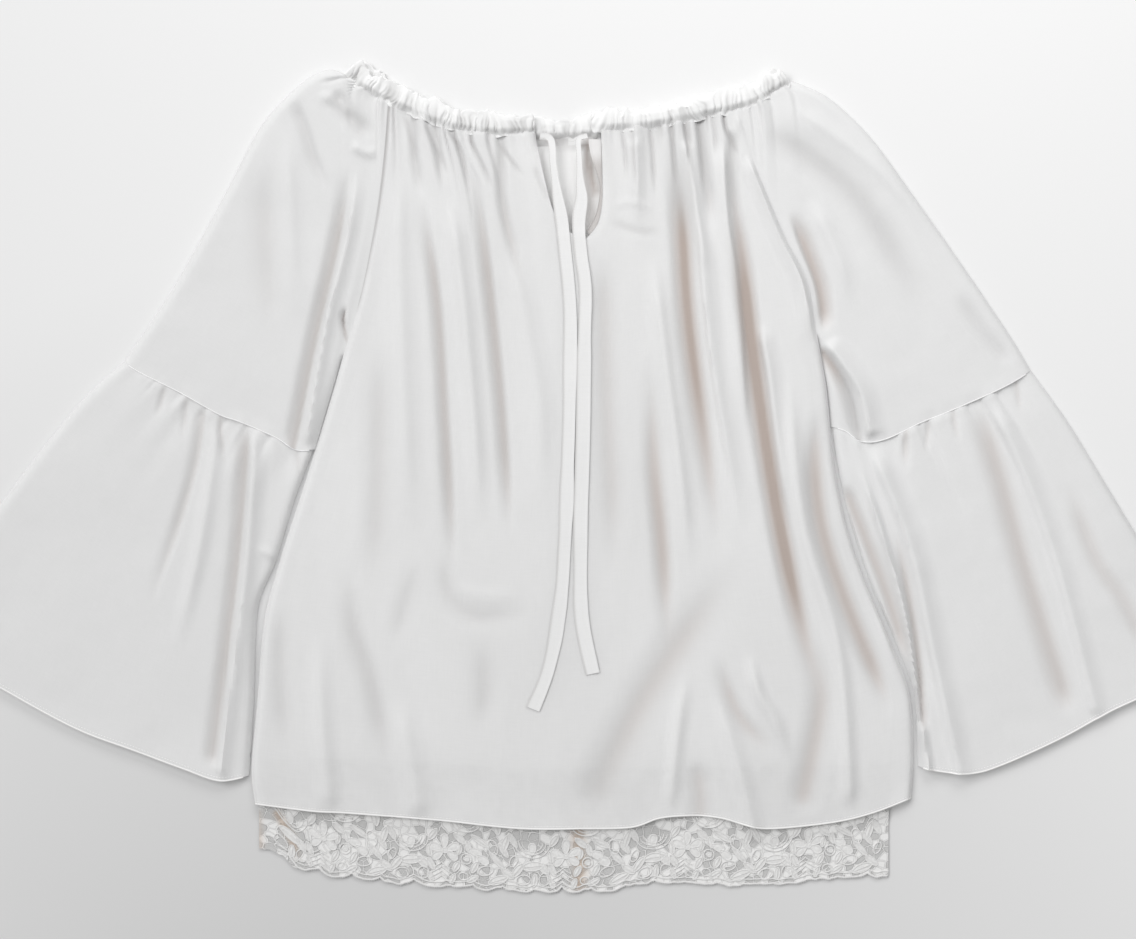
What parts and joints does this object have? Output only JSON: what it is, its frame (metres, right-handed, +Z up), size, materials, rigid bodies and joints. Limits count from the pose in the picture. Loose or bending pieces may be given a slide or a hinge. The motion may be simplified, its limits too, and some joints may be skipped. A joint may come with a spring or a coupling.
{
  "type": "off-shoulder blouse",
  "caption": "Off-shoulder peasant blouse laid flat: gathered neck casing with ties and a keyhole slit, bell flounces on raglan sleeves, and a lining edged with lace.",
  "frame": {"origin": "centre of the blouse's outline, on the surface that it lies on", "axes": "+X across the front from one flounce to the other, +Y from the hem to the neck, +Z up from the surface"},
  "size_m": [1.108, 0.7078, 0.0146],
  "materials": {
    "chiffon": "matt, slightly sheer",
    "lining": "soft, matt",
    "lace": "matt cotton lace"
  },
  "bodies": {
    "root": {"back_panel": "chiffon", "front_panel": "chiffon", "sleeve_left": "chiffon", "sleeve_right": "chiffon", "flounce_left": "chiffon", "flounce_right": "chiffon", "casing_back": "chiffon", "casing_front_left": "chiffon", "casing_front_right": "chiffon", "slit_facing": "chiffon", "tie_left": "chiffon", "tie_right": "chiffon", "lining_front": "lining", "lining_back": "lining", "lace_front": "lace", "lace_back": "lace"}
  },
  "joints": []
}
